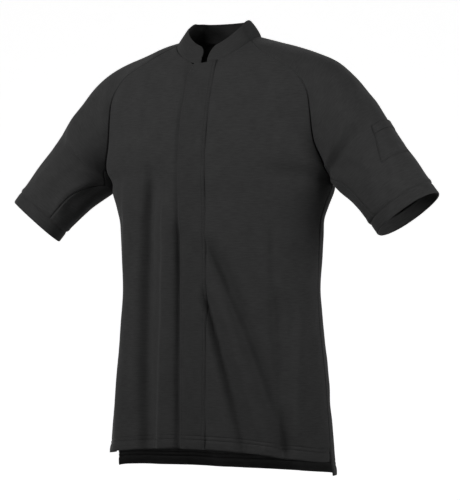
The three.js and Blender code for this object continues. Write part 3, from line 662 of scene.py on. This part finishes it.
# ---------------------------------------------------------------------------------------------------------
# Back
# One piece of the knit without a centre seam, longer than the fronts, with short vents at the side seams and
# a twin-needle hem. It falls in long folds from below the shoulder blades.
# ---------------------------------------------------------------------------------------------------------
BACK = guide(
    BODY_COLUMNS,
    (0, 118, -765, 210, 7, -759, 0, -1, 0, 130, 62),
    (0.07, 117, -705, 206, 0, -702, 0, -1, 0, 127, 64),
    (0.165, 113, -605, 198, 0, -600, 0, -1, 0, 121, 64),
    (0.35, 100, -447, 184, 0, -447, 0, -1, 0, 112, 58),
    (0.49, 108, -330, 188, 0, -330, 0, -1, 0, 122, 67),
    (0.53, 111, -295, 197, 0, -297, 0, -1, 0, 128, 70),
    (0.57, 113, -260, 210, 0, -264, 0.1, -1, 0, 132, 70),
    (0.624, 115, -226, 209, 26, -236, 0.5, -0.85, 0, 114, 48),
    (0.687, 115, -186, 199, 50, -194, 0.68, -0.73, 0, 100, 46),
    (0.783, 109, -120, 190, 63, -118, 0.9, -0.42, 0.1, 84, 56),
    (0.846, 98, -74, 163, 67, -68, 0.88, -0.3, 0.36, 65, 50),
    (0.924, 80, -36, 110, 58, -26, 0.74, -0.46, 0.4, 42, 32),
    (1, 57, -2, 59, 36, -2, 0.55, -0.83, 0, 24, 14),
)
BACK_STEP = 3.1 * MM / 0.76
BACK_WIDTH_STEP = 3.1 / 230
BACK_EDGES_FINE = [(-1.0, 0.04, 0.006), (1.0, 0.04, 0.006)]
BACK_FOLDS = np.array([
    (88, -300, 124, -760, 6, -5.5, 14, 22),
    (34, -410, 44, -760, -4, 3.6, 12, 18),
    (-62, -330, -58, -760, 5, -5.5, 13, 20),
    (-16, -480, -12, -760, 0, -3.0, 10, 14),
    (-140, -330, -168, -760, -5, -3.6, 15, 20),
    (-108, -420, -112, -760, 0, 2.8, 14, 18),
    (158, -420, 182, -760, 0, 2.8, 14, 20),
    (60, -240, -40, -262, 6, -1.6, 14, 12),
    (-120, -170, -60, -200, 4, -1.0, 12, 12),
    (120, -170, 76, -196, -4, -1.0, 12, 12),
])

at = spaced(0, 1, BACK_STEP, HEM_FINE)[:, None]
share = spaced(-1, 1, BACK_WIDTH_STEP, BACK_EDGES_FINE)[None]
grid, normal = body_surface(BACK, BACK_FOLDS, at, share, seed=11)
down, across = run(grid, 0), run(grid, 1)
to_neck = down[-1:] - down
x = body_across(BACK, *np.broadcast_arrays(at, share))
relief = seam_valley(across) + seam_valley(across[:, -1:] - across) + seam_valley(to_neck, NECK_VALLEY)
relief += hem_relief(down, [(-120, 0.6), (-20, 0.7), (85, 0.8)], x)
grid = grid + normal * relief[..., None]
grid = lapped(grid, left=True, right=True, last=True)
back = cloth_object("back_panel", grid, normal, KNIT, cloth=np.stack([x, grid[..., 2]], axis=-1))
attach(back, "root")
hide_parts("back")
middle = grid.shape[1] // 2
back_lines = [(grid[i], normal[i]) for i in (np.abs(down[:, middle] - line).argmin() for line in HEM_LINES)]
back_stitches = stitches("back_panel_stitching", back_lines)

# ---------------------------------------------------------------------------------------------------------
# Sleeves
# Raglan sleeves, one piece each, which run up to the neck. Soft folds fall from the armpits, and the cloth
# puffs a little over the cuff seam.
# ---------------------------------------------------------------------------------------------------------
ARM_TOP = guide(
    "at line_x line_y line_z",
    (0, 72, 12, -3),
    (0.27, 144, 11, -26),
    (0.54, 219, 5, -56),
    (0.82, 277, 0, -116),
    (1, 310, -4, -160),
    (1.5, 352, -13, -214),
    (2, 393, -23, -266),
)
ARM_UNDER = guide("at line_x line_y line_z", (1, 210, 0, -264), (1.5, 252, -20, -292), (2, 297, -37, -337))
ARM_COLUMNS = "at dir_x dir_y dir_z low_pull top_pull"
ARM_FRONT = guide(
    ARM_COLUMNS,
    (0, 0.05, 0.9, 0.42, 14, 14),
    (0.18, 0.12, 0.68, 0.72, 24, 28),
    (0.36, 0.2, 0.52, 0.83, 30, 34),
    (0.505, 0.42, 0.02, 0.9, 40, 42),
    (0.73, 0.72, -0.45, 0.5, 52, 60),
    (0.875, 0.45, -0.87, 0.2, 74, 78),
    (1, 0.12, -1, 0.1, 80, 80),
    (1.5, 0, -1, 0, 80, 74),
    (2, 0, -1, 0, 64, 62),
)
ARM_BACK = guide(
    ARM_COLUMNS,
    (0, 0.2, -0.97, 0, 9, 9),
    (0.18, 0.2, -0.78, 0.58, 22, 24),
    (0.36, 0.25, -0.55, 0.8, 30, 34),
    (0.505, 0.45, -0.02, 0.9, 42, 44),
    (0.73, 0.72, 0.4, 0.5, 54, 62),
    (0.875, 0.45, 0.87, 0.2, 72, 78),
    (1, 0.12, 1, 0.1, 80, 80),
    (1.5, 0, 1, 0, 78, 74),
    (2, 0, 1, 0, 63, 62),
)
ARM_AXIS = np.array([0.62, -0.1, -0.78])
ARM_STATIONS = np.linspace(0, 2, 201)
ARM_LENGTHS = run(read_vector(ARM_TOP, "line", ARM_STATIONS)[None], 1)[0]
ARM_CORE = (0.262, -0.012, -0.205)
UNDERARM_FROM = 1 - 2 / 14
UNDERARM_SHARE = 0.27
CUFF_SLANT = {"left": 2 * MM, "right": 13 * MM}
HILL_SEEDS = {"left": 21, "right": 22}
ARM_STEP = 2.7 / 215
ARM_ROUND_STEP = 2.6 / 170
CUFF_END_FINE = (2.0, 0.05, 0.005)
PANEL_STEP = 0.055
PANEL_SIDES_FINE = [(-1.0, 0.12, 0.018), (1.0, 0.12, 0.018)]
ARM_FOLDS = {
    "left": np.array([
        (-120, 318, -86, 418, 6, -3.2, 12, 15),
        (-62, 322, -72, 396, 4, -2.6, 8, 10),
        (-92, 340, -100, 410, 0, 2.6, 9, 12),
        (-150, 300, -140, 412, 4, 2.6, 10, 12),
        (-100, 262, -60, 300, 0, -2.0, 14, 12),
        (120, 318, 96, 413, -6, -4.2, 14, 17),
        (60, 312, 56, 388, 4, -2.6, 12, 14),
        (-50, 366, -20, 352, 0, 1.4, 4, 4),
    ]),
    "right": np.array([
        (-118, 300, -104, 418, 5, -2.8, 12, 16),
        (-165, 312, -150, 405, 4, -3.6, 9, 12),
        (-146, 322, -128, 413, 4, 3.2, 9, 12),
        (-80, 250, -64, 400, 0, 2.2, 14, 14),
        (108, 318, 92, 413, -5, -4.4, 14, 17),
        (48, 318, 54, 393, 4, -2.6, 12, 14),
    ]),
}


def half_section(table, pulls, sideways, along, round_, slant):
    """Half of a sleeve's section: a cubic from the raglan seam, or past the armpit from the underside, over
    to the line along the top. Towards the cuff the slant draws the middle of the front half up the arm, and
    that of the back half down it."""
    seam = read_vector(table, "edge", 1 - (1 - ARMPIT_AT) * np.minimum(along, 1))
    under = read_vector(ARM_UNDER, "line", np.maximum(along, 1))
    low = np.where((along < 1)[..., None], seam, under)
    top = read_vector(ARM_TOP, "line", along)
    over = np.zeros_like(top)
    over[..., 1] = sideways * read(pulls, "top_pull", along)
    point = bezier(low, low + directions(pulls, along, "low_pull"), top + over, top, round_)
    drawn = slant * smooth(along - 1) * 4 * round_ * (1 - round_) * sideways
    return point + drawn[..., None] * ARM_AXIS


def arm_form(side, along, turn):
    """The left sleeve without folds, or the right one mirrored onto it: along runs from the neck (0) past the
    armpit (1) to the cuff (2), and turn from -1 at the underside in front over 0 at the top to 1."""
    slant = CUFF_SLANT[side]
    front = half_section(FRONT, ARM_FRONT, -1, along, 1 - np.abs(turn), slant)
    behind = half_section(BACK, ARM_BACK, 1, along, 1 - np.abs(turn), slant)
    return np.where((turn <= 0)[..., None], front, behind)


def arm_surface(side, along, turn, lift=0.0):
    """The sleeve with its folds and soft hills, by the distance round from its top line and the length from
    the neck. They die away towards the raglan seam and the cuff."""
    along, turn = np.broadcast_arrays(np.asarray(along, float), np.asarray(turn, float))
    form = arm_form(side, along, turn)
    points = arm_form(side, np.broadcast_to(along, (len(CHORD_ENDS), *turn.shape)), CHORD_ENDS * turn)
    x = np.linalg.norm(np.diff(points, axis=0), axis=-1).sum(axis=0) * np.sign(turn)
    z = np.interp(along, ARM_STATIONS, ARM_LENGTHS)
    calm = smooth((2 - along) / 0.12) * np.where(along < 1, smooth((1 - np.abs(turn)) / 0.28), 1)
    hills = soft_hills(x, z, seed=HILL_SEEDS[side])
    height = (fold_height(ARM_FOLDS[side], x, z) + hills) * calm + lift
    normal = outwards(form, ARM_CORE)
    return form + normal * height[..., None], normal, x, z


def underarm_share(along):
    """How far round a half section the underarm panel reaches. It widens fast from the raglan seam on, and
    reaches UNDERARM_SHARE at the cuff."""
    share_run = np.clip((along - UNDERARM_FROM) / (2 - UNDERARM_FROM), 0, 1)
    return UNDERARM_SHARE * (1 - (1 - share_run) ** 5)


def mirrored(side, *arrays):
    """Arrays of points or directions, as they are for the left side and with x turned round for the right."""
    flip = np.array([1 if side == "left" else -1, 1, 1])
    return [a * flip for a in arrays]


def cuff_puff(to_cuff):
    """The sleeve's fullness just above the cuff seam, and its roll into the seam."""
    return 0.7 * MM * bell(to_cuff - 6 * MM, 4 * MM) + seam_valley(to_cuff, 1.3 * MM, 2.0 * MM)


for side in ("left", "right"):
    along = spaced(0, 2, ARM_STEP, [(0.0, 0.03, 0.006), CUFF_END_FINE])[:, None]
    reach = 1 - underarm_share(along)
    turn = reach * spaced(-1, 1, ARM_ROUND_STEP, [(-1.0, 0.04, 0.006), (1.0, 0.04, 0.006)])[None]
    grid, normal, x, z = arm_surface(side, along, turn)
    down, across = run(grid, 0), run(grid, 1)
    to_cuff = down[-1:] - down
    relief = (seam_valley(across) + seam_valley(across[:, -1:] - across)) * (1 - bell(to_cuff, 3 * MM))
    relief += seam_valley(down, NECK_VALLEY) + cuff_puff(to_cuff)
    grid = lapped(grid + normal * relief[..., None], first=True, last=True, left=True, right=True)
    grid, normal = mirrored(side, grid, normal)
    sleeve = cloth_object(f"{side}_sleeve", grid, normal, KNIT, cloth=np.stack([x, -z], axis=-1))
    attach(sleeve, "root")
    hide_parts(f"sleeve_{side}")

# ---------------------------------------------------------------------------------------------------------
# Underarm panels
# A tapering piece of the knit let in between the sleeve's edges, from the raglan seam to the cuff.
# ---------------------------------------------------------------------------------------------------------
for side in ("left", "right"):
    station = spaced(UNDERARM_FROM, 2, ARM_STEP, [CUFF_END_FINE])[:, None]
    share_run = (station - UNDERARM_FROM) / (2 - UNDERARM_FROM)
    across_panel = spaced(-1, 1, PANEL_STEP, PANEL_SIDES_FINE)[None]
    start = 1 - (1 - UNDERARM_FROM) * np.abs(across_panel)
    along = start + (2 - start) * share_run
    turn = np.where(across_panel <= 0, -1, 1) * (1 - np.abs(across_panel) * underarm_share(station))
    grid, normal, _, z = arm_surface(side, along, turn)
    down, across = run(grid, 0), run(grid, 1)
    to_cuff = down[-1:] - down
    relief = (seam_valley(across) + seam_valley(across[:, -1:] - across)) * (1 - bell(to_cuff, 3 * MM))
    relief += seam_valley(down) + cuff_puff(to_cuff)
    grid = lapped(grid + normal * relief[..., None], first=True, last=True, left=True, right=True)
    grid, normal = mirrored(side, grid, normal)
    cloth = np.stack([run(grid, 1), -z], axis=-1)
    panel = cloth_object(f"{side}_underarm_panel", grid, normal, KNIT, cloth=cloth)
    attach(panel, "root")
    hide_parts(f"underarm_{side}")

# ---------------------------------------------------------------------------------------------------------
# Cuffs
# A doubled band of the knit round each sleeve's end, folded at its lower edge and sewn on edge to edge.
# ---------------------------------------------------------------------------------------------------------
CUFF_HEIGHT = 22 * MM
CUFF_STEP_IN = 0.8 * MM
CUFF_POINTS = 160
CUFF_STEP = 0.09
CUFF_EDGES_FINE = [(0.0, 0.2, 0.03), (1.0, 0.16, 0.03)]
CUFF_SEAM_AT = 2.0
JUST_ABOVE_SEAM = 1.99

for side in ("left", "right"):
    turn = np.linspace(-1, 1, CUFF_POINTS + 1)[None, :-1]
    down = spaced(0, 1, CUFF_STEP, CUFF_EDGES_FINE)[:, None]
    near = arm_form(side, np.full(turn.shape, JUST_ABOVE_SEAM), turn)
    far = arm_form(side, np.full(turn.shape, CUFF_SEAM_AT), turn)
    around = np.concatenate([far[:, -2:], far, far[:, :2]], axis=1)
    normal = np.cross(far - near, np.gradient(around, axis=1)[:, 2:-2])
    normal /= np.linalg.norm(normal, axis=-1, keepdims=True)
    middle = far.mean(axis=(0, 1))
    normal *= np.sign(((far - middle) * normal).sum())
    relief = 0.5 * MM * smooth(down / 0.25) - 0.5 * MM * (1 - smooth(down / 0.14))
    relief = relief - 0.9 * MM * smooth((down - 0.88) / 0.12) ** 2
    relief = relief + 0.3 * MM * np.sin(9 * turn + 2 * down) * np.sin(4 * turn - 1)
    grid = far + normal * (relief - CUFF_STEP_IN)[..., None] + ARM_AXIS * (CUFF_HEIGHT * down)[..., None]
    normal = np.broadcast_to(normal, grid.shape)
    grid, normal = mirrored(side, grid, normal)
    cuff = cloth_object(f"{side}_cuff", grid, normal, BAND_KNIT, DOUBLE_CLOTH, ring=True)
    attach(cuff, "root")
    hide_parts(f"cuff_{side}")

# ---------------------------------------------------------------------------------------------------------
# Collar
# A low standing band of two layers, with rounded corners and a gap in front. It leans in all round.
# ---------------------------------------------------------------------------------------------------------
COLLAR_RISE = 30 * MM
COLLAR_LEAN = 20 * MM
COLLAR_FOOT_LOWERED = 1.0 * MM
COLLAR_CORNER = 17 * MM
COLLAR_END_HEIGHT = 0.42
COLLAR_LEFT_END = 9 * MM
COLLAR_RIGHT_END = 3.5 * MM
COLLAR_STEP = 2.2 * MM
COLLAR_END_STEP = 0.8 * MM
COLLAR_ROW_STEP = 0.06
COLLAR_EDGES_FINE = [(0.0, 0.12, 0.03), (1.0, 0.1, 0.03)]
NECK_POINTS = 40


def neck_line():
    """The left half of the neck seam from the middle of the front to the middle of the back."""
    share = np.linspace(0, 1, NECK_POINTS)[None]
    ends = np.ones_like(share)
    pieces = [
        body_form(FRONT, ends, share)[0], arm_form("left", 0 * ends, -1 + share)[0, 1:],
        arm_form("left", 0 * ends, share)[0, 1:], body_form(BACK, ends, 1 - share)[0, 1:],
    ]
    return np.concatenate(pieces)


seam = neck_line()
far = np.concatenate([[0], np.cumsum(np.linalg.norm(np.diff(seam, axis=0), axis=1))])
length = far[-1]
along = np.concatenate([
    spaced(COLLAR_LEFT_END, length, COLLAR_STEP, [(COLLAR_LEFT_END, 0.02, COLLAR_END_STEP)]),
    spaced(-length, -COLLAR_RIGHT_END, COLLAR_STEP, [(-COLLAR_RIGHT_END, 0.02, COLLAR_END_STEP)])[1:],
])
foot = np.stack([np.interp(np.abs(along), far, seam[:, k]) for k in range(3)], axis=-1)
foot[:, 0] *= np.sign(along)
inwards = -foot * [1, 1, 0]
inwards /= np.linalg.norm(inwards, axis=-1, keepdims=True)
rise = inwards * COLLAR_LEAN + [0, 0, COLLAR_RISE]
to_end = np.abs(along) - np.where(along > 0, COLLAR_LEFT_END, COLLAR_RIGHT_END)
missing = np.maximum(0, 1 - to_end / COLLAR_CORNER)
corner = 1 - (1 - COLLAR_END_HEIGHT) * (1 - np.sqrt(1 - missing ** 2))
up = spaced(0, 1, COLLAR_ROW_STEP, COLLAR_EDGES_FINE)[:, None]
grid = foot + rise * (up * corner)[..., None]
normal = outwards(grid, (0, 0, 0))
relief = 0.8 * MM * np.sin(math.pi * up) + 0.5 * MM * np.sin(along * 90 + up * 2) * np.sin(math.pi * up)
relief = relief - 0.6 * MM * bell(1 - up, 0.05) - 0.5 * MM * bell(up, 0.06)
grid = grid + normal * relief[..., None] - np.array([0, 0, COLLAR_FOOT_LOWERED]) * bell(up, 0.12)[..., None]
collar = cloth_object("standing_collar", grid, normal, BAND_KNIT, DOUBLE_CLOTH)
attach(collar, "root")
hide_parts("collar")

# ---------------------------------------------------------------------------------------------------------
# Pen pocket
# A patch on the left sleeve with a doubled band at its top. Both are edge-stitched at their sides, the band
# also along its top and the patch along its lower edge.
# ---------------------------------------------------------------------------------------------------------
POCKET_TOP = 1.0
POCKET_BAND_END = 1.095
POCKET_BOTTOM = 1.5
POCKET_FRONT = 0.225
POCKET_BACK = 0.12
POCKET_SLANT = 0.24
POCKET_OFF_SLEEVE = 0.2 * MM
POCKET_SEAM = 0.003
POCKET_STEP = 2.2 / 215
POCKET_ROUND_STEP = 0.013
POCKET_SIDES_FINE = [(-POCKET_FRONT, 0.03, 0.005), (POCKET_BACK, 0.03, 0.005)]
POCKET_STITCH_IN = 1.8 * MM
POCKET_BAND = ("sleeve_pocket_band", "pocket_band", "doubled_cloth", 1.8 * MM, (0.068, 0.0125))
POCKET_PATCH = ("sleeve_pocket_patch", "sleeve_pocket", "knit_cloth", 1.0 * MM, (0.068, 0.056))
POCKET_PARTS = (
    (POCKET_TOP, POCKET_BAND_END - POCKET_SEAM, *POCKET_BAND),
    (POCKET_BAND_END, POCKET_BOTTOM, *POCKET_PATCH),
)
for top, bottom, name, node, slot, thickness, flat in POCKET_PARTS:
    along = spaced(top, bottom, POCKET_STEP, [(top, 0.02, 0.004), (bottom, 0.02, 0.004)])[:, None]
    turn = spaced(-POCKET_FRONT, POCKET_BACK, POCKET_ROUND_STEP, POCKET_SIDES_FINE)[None]
    turn = turn - POCKET_SLANT * (along - POCKET_TOP)
    grid, normal, x, z = arm_surface("left", along, turn, POCKET_OFF_SLEEVE + thickness)
    down, across = run(grid, 0), run(grid, 1)
    side_edge = np.minimum(across, across[:, -1:] - across)
    end_edge = down if node == "pocket_band" else down[-1:] - down
    relief = -0.5 * MM * bell(side_edge, 1 * MM) - 0.4 * MM * bell(end_edge, 1 * MM)
    grid = grid + normal * relief[..., None]
    patch = cloth_object(name, grid, normal, KNIT, thickness, cloth=np.stack([x, -z], axis=-1))
    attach(patch, "root")
    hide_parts(node)
    row = np.abs(side_edge[0] - POCKET_STITCH_IN).argmin()
    lines = [(grid[:, j], normal[:, j]) for j in (row, grid.shape[1] - 1 - row)]
    end_row = np.abs(end_edge[:, 0] - POCKET_STITCH_IN).argmin()
    lines.append((grid[end_row], normal[end_row]))
    sewing = stitches(f"{name}_stitching", lines)
